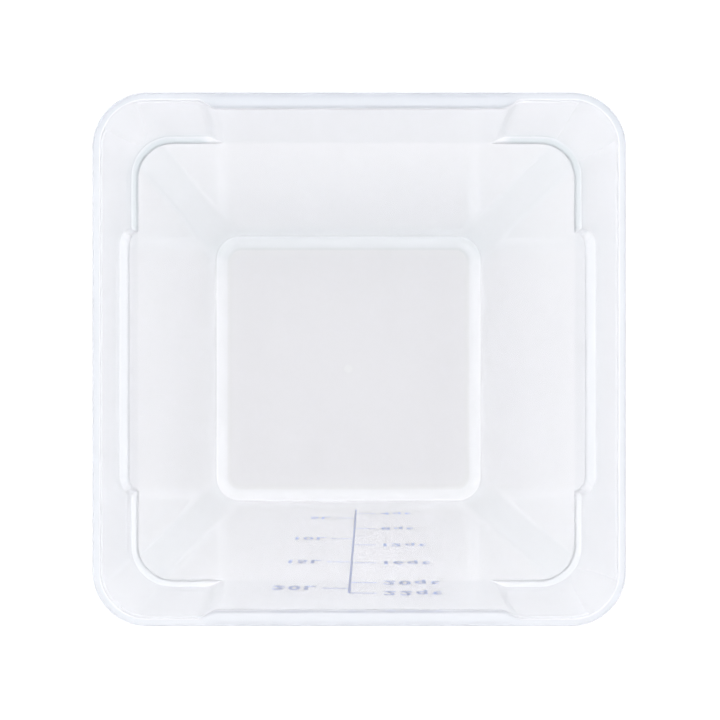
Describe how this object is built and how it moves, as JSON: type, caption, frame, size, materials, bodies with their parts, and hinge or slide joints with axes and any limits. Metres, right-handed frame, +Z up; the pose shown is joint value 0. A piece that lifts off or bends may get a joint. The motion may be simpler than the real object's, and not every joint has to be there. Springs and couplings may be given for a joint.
{
  "type": "square food storage container",
  "caption": "Tall tapered square food storage tub, open at the top, in frosted plastic, with rim flange, side hand grips and a printed volume scale.",
  "frame": {"origin": "middle of the underside, where the foot ring stands", "axes": "+Z up, the height of the tub; -Y towards the front wall with the printed scale; +X to the right seen from the front"},
  "size_m": [0.285, 0.285, 0.4],
  "materials": {
    "tub_plastic": "frosted translucent polypropylene with a soft gloss",
    "ink": "printed blue ink"
  },
  "bodies": {
    "root": {"tub": "tub_plastic", "scale_bar": "ink", "label_4qt_1": "ink", "label_4qt_2": "ink", "label_4qt_3": "ink", "label_8qt_1": "ink", "label_8qt_2": "ink", "label_8qt_3": "ink", "label_12qt_1": "ink", "label_12qt_2": "ink", "label_12qt_3": "ink", "label_12qt_4": "ink", "label_16qt_1": "ink", "label_16qt_2": "ink", "label_16qt_3": "ink", "label_16qt_4": "ink", "label_20qt_1": "ink", "label_20qt_2": "ink", "label_20qt_3": "ink", "label_20qt_4": "ink", "label_22qt_1": "ink", "label_22qt_2": "ink", "label_22qt_3": "ink", "label_22qt_4": "ink", "label_5L_1": "ink", "label_5L_2": "ink", "label_10L_1": "ink", "label_10L_2": "ink", "label_10L_3": "ink", "label_15L_1": "ink", "label_15L_2": "ink", "label_15L_3": "ink", "label_20L_1": "ink", "label_20L_2": "ink", "label_20L_3": "ink"}
  },
  "joints": []
}
